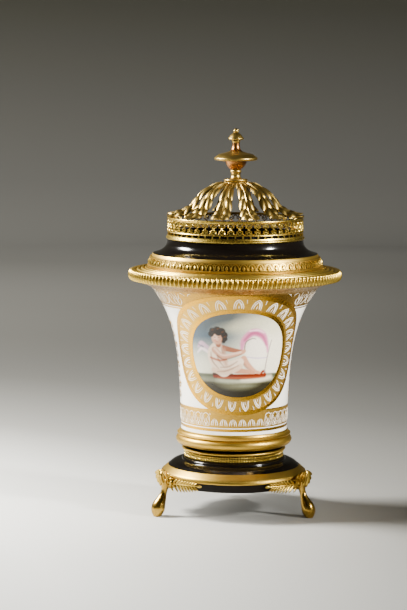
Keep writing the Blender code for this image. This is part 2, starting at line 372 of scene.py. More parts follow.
LEAFY = gilt_bronze("toned_gilt_bronze", "#bc9e54", "#967c3c", "#281c08", 0.35, 0.5, 0.10)
BURNISHED = gilt_bronze("burnished_gilt_bronze", "#e4c65c", "#cba945", "#5e4612", 0.27, 0.7, 0.06)
CHASED = gilt_bronze("chased_gilt_bronze", "#dcbc55", "#c09c3c", "#4c380e", 0.34, 0.5, 0.12)
MATT = gilt_bronze("matt_gilt_bronze", "#ccaa4a", "#b28c36", "#4a360e", 0.37, 0.35, 0.25)
# near-black bronze for the foot's recess, the ring's body and the plate behind the wing leaflets: painted
# shade
DARK = gilt_bronze("gilt_bronze_painted_shade", "#4a3814", "#2c200c", "#120c04", 0.45, 0.6, 0.2)
# darker bronze on the inner faces of the gallery and on the leaves' undersides: painted shade
SHADED = gilt_bronze("gilt_bronze_painted_inner_shade", "#806638", "#5a4622", "#20160a", 0.42, 0.6, 0.2)
LEG = gilt_bronze("burnished_leg_bronze", "#c6a048", "#aa8636", "#34240a", 0.25, 0.7, 0.05)
# reddish bronze for the finial's cup and waisted stem: painted reflection of the gold round them
WARM_REFLECTION = gilt_bronze("gilt_bronze_painted_warm_reflection", "#a87440", "#885828", "#3a220c", 0.30, 0.5, 0.1)
WHITE = porcelain("white_glazed_porcelain", "#f7f3e8", "#f1ecdf", 1.5, 0.07)
BLACK = porcelain("black_glazed_porcelain", "#070504", "#0d0a07", 1.46, 0.12)
MATT_BLACK = porcelain("matt_black_porcelain", "#0b0806", "#130e09", 1.2, 0.5)
GROUND = gilding("brushed_gilding", "#d8ac42", "#bc8e34", 0.34, 0.88)
LINES = gilding("burnished_gilding", "#e0aa2c", "#c48e20", 0.26, 1.0)
TOOLED = gilding("matt_gilding", "#d4ae46", "#b89034", 0.38, 0.98)
# burnished gilding for the band under the lip, darker than the brushed ground: painted shade cast by the lip
BAND = gilding("burnished_band_gilding_painted_shade", "#bf9238", "#a07828", 0.28, 0.95)
ENAMEL = porcelain("white_enamel", "#f5ebd8", "#ecdfc6", 1.5, 0.18)
PAINTED = painted_glaze()


# ---------------------------------------------------------------- the vase

def flare(height):
    """Outer radius of the vase's wall, a trumpet that opens near the top."""
    t = (height - NECK) / (SHOULDER - NECK)
    return NECK_RADIUS + 5.0 * t + 23.4 * max(t, 0.0) ** 4


def wrapped(bm, wall=flare, turn=PANEL_TURN, radius=WRAP_RADIUS):
    """Wraps a flat drawing on a wall: x goes round, y is the height and z stands off the wall."""
    for vert in bm.verts:
        x, height, lift = vert.co
        slope = wall(height + 0.5) - wall(height - 0.5)
        out = Vector((1.0, -slope)).normalized()
        reach = wall(height) + out.x * lift
        angle = x / radius + radians(turn)
        vert.co = (reach * sin(angle), -reach * cos(angle), height + out.y * lift)
    bmesh.ops.recalc_face_normals(bm, faces=bm.faces)
    return bm


def strokes(paths, thick=0.16, lift=0.12, resolution=1, squash=0.35):
    """Low brush strokes along flat paths of (x, y, half width), standing off the wall by lift."""
    bm = bars([[(x, y, 0.0, width) for x, y, width in path] for path in paths], resolution)
    for vert in bm.verts:
        vert.co.z = lift + max(-thick, min(thick, vert.co.z * squash))
    return bm


def drawn(points):
    """One flowing stroke through points of (x, y, half width)."""
    return smooth(points, 4)


def placed(paths, x, y, turn=0.0, size=1.0):
    """The same strokes at another place, turned anticlockwise by an angle in radians."""
    c, s = cos(turn) * size, sin(turn) * size
    return [[(x + px * c - py * s, y + px * s + py * c, width * size) for px, py, width in path]
            for path in paths]


def both_sides(paths):
    """The strokes and their mirror images across x = 0."""
    return paths + [[(-x, y, width) for x, y, width in path] for path in paths]


def finer(paths, share):
    """The same strokes with a share of their width."""
    return [[(x, y, width * share) for x, y, width in path] for path in paths]


def oval(turn, half, power=2.1):
    """A point on an oval with squarish shoulders, at an angle in radians."""
    c, s = cos(turn), sin(turn)
    reach = (abs(c) ** power + abs(s) ** power) ** (-1 / power)
    return half[0] * reach * c, half[1] * reach * s


def spaced(half, count, fine=720):
    """Evenly spaced (x, y, turn) round an oval, where turn takes +Y to the way out of the oval."""
    ring = [oval(tau * i / fine, half) for i in range(fine + 1)]
    lengths = np.concatenate([[0.0], np.cumsum([dist(a, b) for a, b in zip(ring, ring[1:])])])
    found = []
    for along in np.linspace(0, lengths[-1], count, endpoint=False) + lengths[-1] / count / 3:
        at = int(np.searchsorted(lengths, along)) - 1
        (x, y), (ahead_x, ahead_y) = ring[at], ring[at + 1]
        found.append((x, y, atan2(ahead_y - y, ahead_x - x) + pi))
    return found


def oval_band(inner, outer, low, high, steps=300, rings=6):
    """A flat band between two ovals, with its underside at low and its top at high."""
    bm = bmesh.new()
    start = [bm.verts.new((1.0 + i / rings, 0, 0)) for i in range(rings + 1)]
    edges = [bm.edges.new(pair) for pair in zip(start, start[1:])]
    bmesh.ops.spin(
        bm, geom=start + edges, cent=(0, 0, 0), axis=(0, 0, 1), angle=tau, steps=steps,
        use_merge=True)
    for vert in bm.verts:
        turn = atan2(vert.co.y, vert.co.x)
        share = hypot(vert.co.x, vert.co.y) - 1.0
        x0, y0 = oval(turn, inner)
        x1, y1 = oval(turn, outer)
        vert.co = (x0 + (x1 - x0) * share, y0 + (y1 - y0) * share + PANEL_CENTRE, low)
    return raised(bm, low, high)


def raised(bm, low, high):
    """Turns a flat sheet into a slab between two heights."""
    bm.normal_update()
    bmesh.ops.solidify(bm, geom=bm.faces[:], thickness=high - low)
    bmesh.ops.recalc_face_normals(bm, faces=bm.faces)
    shift = low - min(vert.co.z for vert in bm.verts)
    bmesh.ops.translate(bm, vec=(0, 0, shift), verts=bm.verts)
    return bm


def grown(half, by):
    """An oval's half sizes, larger by so much all round."""
    return half[0] + by, half[1] + by


def vase_body():
    """The white porcelain vase with its gilt foot, and the gold grounds of its two bands."""
    white, band, line, tooled, dark, ground = range(6)
    finishes = [WHITE, BAND, LINES, TOOLED, DARK, GROUND]
    floor = VASE_LOW + 8.0
    inside = [(0, floor), (40, floor), (44.5, floor + 2.5), (NECK_RADIUS - WALL, floor + 7)]
    inside += [(flare(h) - WALL, h) for h in np.linspace(NECK, SHOULDER, 24)]
    lip = [(78.6, -5.0), (80.4, -0.6), (82, 0), (91, -0.9)]
    lip += arc((LIP_RADIUS - 1.3, -2.6), 1.3, 80, -70, 6) + [(88.1, -6.0), (84.6, -7.2), (81.0, -8.7)]
    walls = list(np.linspace(SHOULDER, UPPER_BAND[0] + 1, 10))
    walls += [UPPER_BAND[0], UPPER_BAND[0] - 0.7, UPPER_BAND[0] - 2.0]
    walls += list(np.linspace(UPPER_BAND[0] - 4, LOWER_BAND[1] + 2, 40))
    walls += [LOWER_BAND[1], LOWER_BAND[0], LOWER_BAND[0] - 0.8, LOWER_BAND[0] - 3.6]
    outside = [(flare(h), h) for h in walls]
    foot = [(49.9, 20.2), (50.6, 19.7), (50.8, 18.7), (51.4, 17.4), (52.7, 16.7), (53.4, 16.2), (53.3, 15.4)]
    foot += [(52.0, 15.0), (50.9, 14.6)] + arc((49.4, 10.1), 4.9, 66, -76, 18)
    foot += [(44.0, 5.1), (42.6, 4.6), (42.4, 2.6), (46.4, 2.3)] + arc((47.7, 1.2), 1.1, 80, -80, 6)
    foot += [(46.4, 0), (0, 0)]
    bm = turned(inside + above(LIP_TOP, lip) + outside + above(VASE_LOW, foot))
    # the band under the lip takes the darker burnished gilding: painted shade of the lip
    zone(bm, UPPER_BAND[0], LIP_TOP - 2.2, NECK_RADIUS + 8, index=band)
    zone(bm, UPPER_BAND[0] - 2.0, UPPER_BAND[0] - 0.7, 60, index=line)
    zone(bm, *LOWER_BAND, NECK_RADIUS - 1, index=ground)
    zone(bm, LOWER_BAND[0] - 3.6, LOWER_BAND[0] - 0.8, NECK_RADIUS - 1, index=line)
    zone(bm, VASE_LOW - 1, VASE_LOW + 20.0, 20, index=tooled)
    # the recess under the foot's torus is near-black bronze: painted shade
    zone(bm, VASE_LOW + 2.4, VASE_LOW + 5.4, 41, index=dark)
    zone(bm, floor - 0.1, inf, inside=lambda height: flare(height) - 2.0, index=white)
    piece("vase_porcelain", bm, finishes, ["vase_body"])


def dotted_row(name, radius, height, count, size, material):
    """A row of small raised dots round a gilt edge."""
    piece(name, around(bead((0, -radius, height), size, 6, 4), count), [material])


def panel_frame():
    """The gold frame round the painting: a brushed ground between two burnished lines."""
    ground = oval_band(grown(PANEL_HALF, 1), grown(FRAME_HALF, -1), -0.05, 0.07)
    piece("frame_ground", wrapped(ground), [GROUND])
    lines = oval_band(grown(PANEL_HALF, -0.3), grown(PANEL_HALF, LINE_WIDTH), -0.05, 0.22, rings=3)
    outer = oval_band(grown(FRAME_HALF, -LINE_WIDTH - 0.4), FRAME_HALF, -0.05, 0.22, rings=3)
    piece("frame_lines", wrapped(added(lines, outer)), [LINES])


def tongues():
    """White tongues reserved in the gold frame: a thin arch round a leaf of a thick and a thin stroke,
    pointing away from the painting, with a dart inside each and one between neighbours."""
    middle = [0.5 * (a + b) for a, b in zip(PANEL_HALF, FRAME_HALF)]
    thin = both_sides([drawn([(3.7, -4.8, 0.20), (3.5, -1.6, 0.30), (2.3, 2.4, 0.34), (0.0, 4.8, 0.34)])])
    thick = drawn([(2.2, -4.4, 0.24), (2.1, -1.8, 0.50), (1.4, 0.8, 0.56), (0.0, 3.2, 0.40)])
    inner = drawn([(-2.2, -4.4, 0.16), (-2.1, -1.8, 0.30), (-1.4, 0.8, 0.34), (0.0, 3.2, 0.34)])
    dart = [(0.1, -4.4, 0.12), (0.1, -3.0, 0.32), (0.1, -1.0, 0.14)]
    wedge = [(5.9, 4.6, 0.28), (6.0, 2.8, 0.22), (6.1, 0.6, 0.10)]
    paths = []
    for x, y, turn in spaced(middle, 25):
        room = 1.0 + 0.28 * abs(sin(turn)) ** 2
        paths += placed([*thin, thick, inner, dart, wedge], x, y + PANEL_CENTRE, turn, 0.96 * room)
    piece("frame_tongues", wrapped(strokes(paths)), [ENAMEL])


def inside_frame(x, y, margin=0.0):
    """Whether a point of the flat drawing lies under the painting's frame."""
    half = grown(FRAME_HALF, margin)
    return (abs(x) / half[0]) ** 2.1 + (abs(y - PANEL_CENTRE) / half[1]) ** 2.1 < 1.0


def lower_band():
    """White palmettes in arches round the gold band at the foot of the wall, lower under the frame."""
    count, frame_above = 36, radians(28)
    arch = both_sides([drawn([
        (4.0, 0.5, 0.18), (4.1, 4.0, 0.30), (3.9, 8.0, 0.40), (2.8, 11.0, 0.42), (0.0, 12.4, 0.34)])])
    leaf = both_sides([
        drawn([(2.7, 1.0, 0.25), (2.5, 3.2, 0.45), (1.3, 4.4, 0.50), (0.9, 7.6, 0.26)]),
        drawn([(3.0, 5.6, 0.15), (2.7, 7.6, 0.34), (1.8, 9.4, 0.16)])])
    cup = [[(0.0, 0.9, 0.5), (0.0, 2.2, 1.5), (0.0, 3.6, 0.6)], [(-3.4, 0.5, 0.24), (3.4, 0.5, 0.24)]]
    drop = [[(4.8, 10.4, 0.15), (4.8, 11.4, 0.55), (4.8, 12.4, 0.2)]]
    low_leaf = both_sides([
        drawn([(3.6, 0.6, 0.2), (3.2, 3.4, 0.5), (1.7, 6.4, 0.3)]),
        drawn([(1.6, 0.8, 0.25), (1.3, 3.6, 0.55), (0.5, 7.2, 0.2)])])
    paths = []
    for index in range(count):
        x = tau * WRAP_RADIUS * ((index + 0.5) / count - 0.5)
        unit = arch + leaf + cup + drop if abs(x) > WRAP_RADIUS * frame_above else low_leaf
        paths += placed(finer(unit, 0.78), x, LOWER_BAND[0] + 1.2)
    piece("lower_band_palmettes", wrapped(strokes(paths, resolution=0)), [ENAMEL])
    rail = turned([(flare(h) - 0.1 + lift, h) for lift, h in (
        (0, LOWER_BAND[1] - 0.9), (0.24, LOWER_BAND[1] - 0.8), (0.24, LOWER_BAND[1] + 0.1),
        (0, LOWER_BAND[1] + 0.2))], closed=True)
    piece("lower_band_line", rail, [LINES])


def upper_band():
    """White acanthus scrolls round the gold band under the lip, clear of the painting's frame."""
    count = 18
    stem = [drawn([(0, 0.6, 0.2), (0, 4.0, 0.9), (0, 9.0, 0.5), (0, 13.6, 0.14)])]
    leaves = both_sides([
        drawn([(0.9, 1.2, 0.2), (3.0, 3.6, 0.6), (3.6, 6.6, 0.5), (2.5, 8.2, 0.2)]),
        drawn([(0.8, 6.0, 0.2), (2.3, 9.2, 0.5), (3.4, 12.4, 0.2)]),
        drawn([(3.8, 1.6, 0.2), (7.0, 2.2, 0.5), (8.8, 5.6, 0.7), (7.9, 9.4, 0.6), (5.8, 10.2, 0.45),
               (4.9, 8.6, 0.35), (5.8, 7.2, 0.25)]),
        drawn([(8.4, 10.4, 0.15), (7.2, 12.4, 0.45), (4.9, 13.2, 0.15)])])
    paths = []
    for index in range(count):
        x = tau * WRAP_RADIUS * ((index + 0.5) / count - 0.5)
        unit = placed(finer(stem + leaves, 0.62), x, UPPER_BAND[0] + 0.9)
        paths += [path for path in unit if not any(inside_frame(px, py, 1.0) for px, py, _ in path)]
    piece("upper_band_scrolls", wrapped(strokes(paths, resolution=0)), [ENAMEL])


def garlands():
    """Gold sprays on the white sides, and a plain gold oval with a spray at the back."""
    leaf = both_sides([drawn([(0.3, 0.0, 0.2), (2.3, 1.5, 0.75), (4.4, 4.2, 0.12)]),
                       drawn([(0.2, 3.6, 0.15), (1.5, 5.0, 0.45), (2.5, 7.2, 0.1)])])
    sprig = leaf + [drawn([(0.0, -1.0, 0.28), (0.5, 3.0, 0.24), (0.0, 8.2, 0.2)])]
    petals = [[(0.0, 0.0, 0.55), (1.5 * sin(t), 1.5 * cos(t), 0.6)]
              for t in np.linspace(0, tau, 5, endpoint=False)]
    paths = []
    foot, pitch = VASE_LOW + 50.2, 9.4
    for turn in (-82.0, 82.0, 134.0, -134.0):
        x = radians(turn) * WRAP_RADIUS
        for index in range(8):
            paths += placed(sprig, x, foot + pitch * index, 0.12 * (-1) ** index, 0.92)
            if index % 2:
                paths += placed(petals, x + 3.6 * (-1) ** (index // 2), foot + 4 + pitch * index)
    back, knot = pi * WRAP_RADIUS, PANEL_CENTRE - 13.6
    for spread in (-0.9, -0.45, 0.0, 0.45, 0.9):
        for step in range(3):
            reach = 4 + 8.5 * step
            paths += placed(sprig, back - sin(spread) * reach, knot + cos(spread) * reach, spread,
                            0.95 - 0.1 * step)
        paths += placed(petals, back - sin(spread) * 29, knot + cos(spread) * 29, 0, 1.3)
    stalks = [[(0, -16, 0.3), (1.2, -6, 0.4), (0, 6, 0.4)], [(3, -15, 0.3), (0, 4, 0.4)],
              [(-4, -14, 0.3), (-1, 4, 0.4)], [(-4, -3, 0.3), (0, -1, 0.6), (4, -3, 0.3)]]
    paths += placed([drawn(stalk) for stalk in stalks], back, knot)
    ring = [(*oval(t, (34, 41)), 0.55) for t in np.linspace(0, tau, 90)]
    inner_ring = [(x * 0.94, y * 0.95, 0.2) for x, y, _ in ring]
    paths += placed([ring, inner_ring], back, PANEL_CENTRE - 4)
    piece("gold_sprays", wrapped(strokes(paths, resolution=0)), [LINES])


# ---------------------------------------------------------------- the painting

class Paint:
    """Enamel colours laid over each other on the panel's points, in millimetres from its middle."""

    def __init__(self, x, y):
        self.x, self.y = x, y
        self.colour = np.zeros((len(x), 3))

    def lay(self, depth, code, soft=1.0, strength=1.0):
        """Lays a colour where depth is above 0, with an edge as soft as soft millimetres."""
        share = np.clip(depth / soft + 0.5, 0, 1) * strength
        self.colour += (np.array(linear(code)[:3]) - self.colour) * share[:, None]

    def dab(self, spot, code, soft=1.0, strength=1.0):
        """Lays a colour on an oval of (x, y, half width, half height), which a fifth value turns
        anticlockwise in degrees."""
        x, y, half_x, half_y, turn = (*spot, 0.0)[:5]
        c, s = cos(radians(turn)), sin(radians(turn))
        across, up = self.x - x, self.y - y
        reach = np.hypot((across * c + up * s) / half_x, (up * c - across * s) / half_y)
        self.lay((1 - reach) * min(half_x, half_y), code, soft, strength)

    def stroke(self, points, code, soft=1.0, strength=1.0):
        """Lays a colour on a rounded form along points of (x, y, half width)."""
        depth = np.full(len(self.x), -99.0)
        path = smooth(points, 5)
        for (x0, y0, r0), (x1, y1, r1) in zip(path, path[1:]):
            dx, dy = x1 - x0, y1 - y0
            t = np.clip(((self.x - x0) * dx + (self.y - y0) * dy) / max(dx * dx + dy * dy, 1e-6), 0, 1)
            away = np.hypot(self.x - x0 - dx * t, self.y - y0 - dy * t)
            depth = np.maximum(depth, r0 + (r1 - r0) * t - away)
        self.lay(depth, code, soft, strength)


def sky_and_sea(paint):
    """A blue-grey sky that clears to cream on the right, over a still olive sea."""
    paint.lay(np.full(len(paint.x), 99.0), "#b9bcb0")
    paint.dab((-30, 30, 42, 34, 20), "#687782", 28, 0.97)
    paint.dab((0, 44, 60, 16), "#727470", 20, 0.9)
    paint.dab((36, 2, 34, 40), "#efe9d8", 34, 0.95)
    paint.dab((-22, -12, 34, 16), "#e6e3d2", 26, 0.9)
    for x, y, wide, high in ((14, 30, 16, 6), (-4, 26, 12, 4), (30, 22, 12, 5)):
        paint.dab((x, y, wide, high, 10), "#dcd8bf", 9, 0.6)
    sea = -18.5 - paint.y
    paint.lay(sea, "#7c8070", 1.2)
    paint.lay(sea - 3.5, "#a3a692", 3, 0.9)
    for depth, code in ((1.6, "#686a58"), (6.5, "#c3c4b0"), (9.5, "#7c7962"), (12.5, "#8f8d76")):
        paint.lay(1.4 - np.abs(sea - depth - 0.5 * np.sin(paint.x / 7 + depth)), code, 2.2, 0.75)
    rim = np.hypot(paint.x / PANEL_HALF[0], (paint.y - 3) / PANEL_HALF[1])
    paint.lay(np.minimum(sea - 6, (rim - 0.86) * 40), "#3a3423", 7, 0.9)
    paint.lay(sea - 15, "#3a3423", 5, 0.85)
    paint.stroke([(4, -23, 2), (22, -22.5, 3), (34, -22, 2)], "#e9e2cd", 3, 0.8)


def boat(paint):
    """A low red-brown raft, a mast and a rose sail that bellies out like a bow."""
    paint.stroke([(-23, -20.2, 1.8), (0, -20.8, 2.2), (27, -20.0, 1.8)], "#8c5142", 1.4)
    paint.stroke([(-24, -18.2, 1.2), (-14, -17.0, 1.9), (-6, -18.4, 1.0)], "#4e2a22", 1.4)
    paint.stroke([(-6, -18.9, 0.7), (24, -18.6, 0.6)], "#7e3a20", 0.9)
    paint.stroke([(-20, -21.8, 0.5), (26, -21.6, 0.5)], "#c98a6c", 1.2, 0.7)
    paint.stroke([(22, -18.6, 1.0), (25.5, -16, 1.2), (27.5, -18.8, 0.9)], "#94503f", 1.4)
    paint.dab((17, 4, 12, 17, -12), "#f3ece0", 7, 0.85)
    paint.stroke([(3, 2, 0.8), (4, 13, 2.6), (12, 21, 3.6), (21, 18, 3.4), (27, 8, 1.6), (28, 2, 0.6)],
                 "#d79fb6", 1.8)
    paint.stroke([(5, 14, 0.9), (12, 20.6, 1.6), (21, 17.4, 1.2), (26, 9, 0.6)], "#b8708f", 2.0, 0.8)
    paint.stroke([(9, 22.6, 0.6), (16, 23.2, 0.8), (22, 20.6, 0.5)], "#f7dfe3", 1.4, 0.8)
    paint.stroke([(8, -2, 0.4), (18, -3.4, 0.5), (28, -3.2, 0.4)], "#c9b6d0", 0.9, 0.8)
    paint.stroke([(31, 13, 0.45), (28.6, -2, 0.55), (26.6, -17, 0.65)], "#a89a98", 0.8, 0.85)
    paint.stroke([(5.4, 4, 0.4), (6.4, 12, 0.4), (12, 15.4, 0.35), (15, 14.8, 0.3)], "#4c3a34", 0.8, 0.8)


def figure(paint):
    """A generic seated youth in a pale tunic, with a fluttering scarf."""
    flesh, light, shade, line = "#d4ae98", "#ecd6c6", "#a87c68", "#6e4a3e"
    paint.stroke([(-39, 6, 0.8), (-35, 10, 2.0), (-30, 7, 1.8), (-25, 4, 1.2)], "#d3b9c6", 1.6, 0.9)
    paint.stroke([(-40, 1, 0.6), (-35, 5, 1.4), (-29, 2, 1.4)], "#efe0e2", 1.6, 0.9)
    paint.stroke([(-38, 8.4, 0.7), (-33.6, 6.6, 0.8)], "#7d7286", 1.2, 0.6)
    paint.stroke([(-14, 6.6, 2.6), (-5, 4.4, 2.2), (3, 3.2, 1.6)], shade, 1)
    paint.stroke([(-19, 8, 4.2), (-21, 0, 7.4), (-17, -9, 7.6), (-13, -14, 6.4)], flesh, 1)
    paint.stroke([(-24, 5, 2.0), (-25, -2, 2.8), (-21, -11, 3.2)], light, 4, 0.8)
    paint.stroke([(-13, 3, 1.0), (-14, -4, 1.6), (-11, -10, 1.2)], shade, 2.6, 0.6)
    paint.stroke([(-14, -13, 4.6), (-4, -9, 4.0), (5, -4, 2.8)], flesh, 1)
    paint.stroke([(-12, -11.4, 2.0), (-3, -7.2, 1.6), (4, -3.2, 1.0)], light, 2.6, 0.8)
    paint.stroke([(5, -3.4, 2.7), (9, -9, 2.2), (16, -15.4, 1.6), (21, -17.2, 1.3)], flesh, 1)
    paint.stroke([(3.4, -6, 1.0), (7.4, -11.4, 0.9), (14, -16.6, 0.6)], shade, 1.6, 0.8)
    paint.stroke([(-2, -14.6, 2.8), (7, -15.6, 2.2), (15, -17, 1.4)], "#cba48e", 1)
    tunic, fold = "#ecdccb", "#a98a78"
    paint.stroke([(-20, 9, 3.6), (-21.6, 0, 7.8), (-18, -9, 8.0), (-14, -14.5, 6.4)], tunic, 1.2)
    paint.stroke([(-14, -13, 5.0), (-5, -9.6, 4.4), (1.5, -6.6, 3.6)], tunic, 1.2)
    paint.stroke([(-24, -14.6, 2.4), (-14, -16.4, 2.6), (-4, -14.0, 2.6), (2, -10.6, 2.2)], "#e2cdb9", 1.4)
    paint.stroke([(-13.6, 5, 1.2), (-13.4, -3, 2.0), (-11.6, -9, 1.4)], "#c9a893", 3, 0.8)
    for start, middle, end in (((-26, 2), (-25, -6), (-19, -13)), ((-20, 5), (-19, -4), (-14, -11)),
                               ((-17, -12), (-9, -11), (-1, -6)), ((-20, -16), (-11, -15), (0, -10)),
                               ((-16, 7), (-14.5, 1), (-14, -4))):
        paint.stroke([(*start, 0.3), (*middle, 0.7), (*end, 0.3)], fold, 1.4, 0.75)
    paint.stroke([(-26.4, -3, 0.9), (-18, -5.4, 1.0), (-11.6, -4.4, 0.8)], "#b06a4e", 1.2, 0.75)
    paint.stroke([(-22, 4.4, 3.0), (-15, -1.6, 2.4), (-5, 0.0, 1.9), (4, 2.6, 1.7)], flesh, 1)
    paint.stroke([(-22, 5.6, 1.2), (-15, -0.4, 0.9), (-4, 1.2, 0.8), (4, 3.2, 0.8)], light, 1.6, 0.9)
    paint.stroke([(-20, -0.8, 0.5), (-14, -4.4, 0.5), (-4, -2.0, 0.4), (3, 0.8, 0.3)], line, 1.2, 0.7)
    paint.dab((4.6, 3.4, 2.2, 1.6, 20), flesh, 0.8)
    paint.stroke([(-18.4, 9, 2.3), (-18.8, 11.4, 2.3)], shade, 1)
    paint.dab((-19, 15.4, 5.2, 5.9, -8), flesh, 0.9)
    paint.dab((-20.8, 15.6, 2.8, 3.8), light, 3, 0.8)
    paint.dab((-21.2, 13.4, 1.3, 1.0), "#dd8f78", 1.6, 0.6)
    for x in (-21.2, -17.6):
        paint.dab((x, 16.4, 0.65, 0.4), line, 0.7, 0.7)
    paint.stroke([(-20.4, 12.0, 0.22), (-18.6, 12.0, 0.22)], "#a5483a", 0.7, 0.8)
    for x, y, size in ((-24.4, 19.2, 2.5), (-22.4, 22.2, 3.0), (-18.6, 23.4, 3.2), (-14.8, 22.2, 3.2),
                       (-12.8, 18.8, 3.0), (-12.4, 15.2, 2.4), (-18.0, 20.8, 3.0), (-13.6, 12.6, 1.7)):
        paint.dab((x, y, size, size), "#30211a", 1.2)
    for x, y in ((-22.6, 23.4), (-18.0, 24.6), (-14.0, 21.6), (-12.4, 17.0)):
        paint.dab((x, y, 1.3, 0.8, 30), "#7b5c46", 1.2, 0.7)


def painting():
    """The panel: a fine grid, oval in outline, that carries the painting as a colour at each point."""
    bm = bmesh.new()
    bmesh.ops.create_grid(bm, x_segments=190, y_segments=160, size=1.0)
    half = grown(PANEL_HALF, 1.7)
    for vert in bm.verts:
        x, y, _ = vert.co
        vert.co = (half[0] * x * sqrt(1 - y * y / 2), half[1] * y * sqrt(1 - x * x / 2), 0)
    raised(bm, -0.05, 0.08)
    points = np.array([vert.co for vert in bm.verts])
    paint = Paint(points[:, 0], points[:, 1])
    sky_and_sea(paint)
    boat(paint)
    figure(paint)
    for vert in bm.verts:
        vert.co.y += PANEL_CENTRE
    item = piece("painted_panel", wrapped(bm), [PAINTED])
    layer = item.data.attributes.new("paint", "FLOAT_COLOR", "POINT")
    layer.data.foreach_set("color", np.column_stack([paint.colour, np.ones(len(points))]).ravel())


# ---------------------------------------------------------------- base, ring, rim and collar

def base():
    """The black-glazed round base, with its broad gilt border and a matt underside."""
    border, underside = 1, 2
    crown = [(0, BASE_TOP)] + arc((46.9, BASE_TOP - 2.0), 2.0, 90, 8, 8)
    edge = smooth([(49.1, 22.6), (50.2, 22.4), (53.2, 22.0), (57.4, 20.5), (61.2, 17.6)], 4) + [(61.6, 17.3)]
    edge += smooth([(62.0, 17.0), (64.7, 14.6), (67.2, 12.1), (BASE_RADIUS, 9.6)], 5)
    edge += [(67.9, 8.9), (66.6, 8.6), (63.9, 8.5), (63.4, 7.8), (62.4, 3.7), (59.8, 0)]
    hollow = [(56.8, 0), (58.2, 9.7), (44, 18.3), (0, 19.1)]
    bm = turned(crown + above(BASE_LOW, edge + hollow))
    zone(bm, BASE_LOW + 8.0, BASE_LOW + 17.35, 61.3, index=border)
    zone(bm, BASE_LOW - 1, BASE_LOW + 8.0, 55, index=underside)
    zone(bm, BASE_LOW - 1, BASE_LOW + 19.3, inside=lambda height: 58.0, index=underside)
    piece("base_porcelain", bm, [BLACK, MATT, MATT_BLACK], ["base"])
    dotted_row("base_dots", 67.5, BASE_LOW + 11.7, 210, 0.42, BURNISHED)


def ring():
    """The gilt-bronze ring under the vase: a milled row and a row of beads, parted by a fillet."""
    outline = [(40, 0), (46.4, 0), (46.4, 0.3), (44.9, 0.5), (44.9, 2.6), (46.4, 2.9), (46.4, 3.3)]
    outline = above(RING_LOW, outline + [(44.9, 3.6), (44.9, 5.8)]) + [(46.0, RING_TOP), (40, RING_TOP)]
    bm = turned(outline, closed=True)
    # the ring's body is near-black bronze, painted shade between the bead rows; only the fillet at this
    # height is gilt
    zone(bm, RING_LOW + 2.8, RING_LOW + 3.4, 46)
    piece("ring_body", bm, [DARK, CHASED], ["beaded_ring"])
    rows = bmesh.new()
    for height, size in ((RING_LOW + 1.55, 1.18), (RING_LOW + 4.75, 1.12)):
        added(rows, around(bead((0, -45.9, height), size, 8, 6), 116))
    piece("ring_beads", rows, [BURNISHED])
    dotted_row("foot_dots", 54.2, VASE_LOW + 10.0, 150, 0.42, TOOLED)


def rim():
    """The gilt-bronze rim: concentric steps, then a roll chased with gadroons."""
    lobes, per_lobe = 136, 12
    roll_radius, roll_height, roll_size = 95.1, RIM_TOP - 7.2, 4.9
    steps = [(76.5, 0), (82.2, 0)] + arc((83.3, -1.1), 1.1, 90, -30, 5) + [(84.6, -1.9), (85.4, -1.9)]
    steps += arc((86.7, -1.7), 1.3, 160, 10, 6) + [(88.4, -2.4), (89.2, -2.5)]
    steps += arc((90.6, -2.6), 1.3, 150, 0, 6) + [(92.2, -3.6)]
    roll = [(roll_radius + roll_size * (max(x, 0) ** 0.6 + min(x, 0)), roll_height + roll_size * y)
            for x, y in arc((0, 0), 1.0, 106, -66, 22)]
    under = [(93, -8.9), (81.2, -7.7), (80, -8.1), (76.5, -5.9)]
    outline = above(RIM_TOP, steps) + roll + [(95.8, RIM_LOW + 1.0)] + above(RIM_TOP, under)
    bm = turned(outline, per_lobe, closed=True, angle=tau / lobes)
    for vert in bm.verts:
        reach = hypot(vert.co.x, vert.co.y)
        rise = (vert.co.z - roll_height) / roll_size
        if reach < roll_radius + 0.5 or abs(rise) > 0.99:
            continue
        share = abs(atan2(vert.co.y, vert.co.x) * lobes / tau % 1.0 * 2 - 1)
        tongue = exp(-(share / 0.42) ** 4)
        dart = 0.6 * exp(-((1 - share) / 0.2) ** 2)
        depth = 1.7 * (1 - step_up(abs(rise), 0.78, 0.97)) * (1 - max(tongue, dart))
        away = Vector((vert.co.x, vert.co.y, 0)).normalized()
        vert.co -= depth * (away * sqrt(1 - rise * rise) + Vector((0, 0, rise)))
    bm = welded(around(bm, lobes))
    piece("gadrooned_rim_bronze", bm, [CHASED], ["gadrooned_rim"], sharp=75)


def collar_wall(height):
    """Radius of the collar's gilt skirt, which spreads downwards."""
    return 79.2 + 0.30 * (COLLAR_LOW + 9.1 - height)


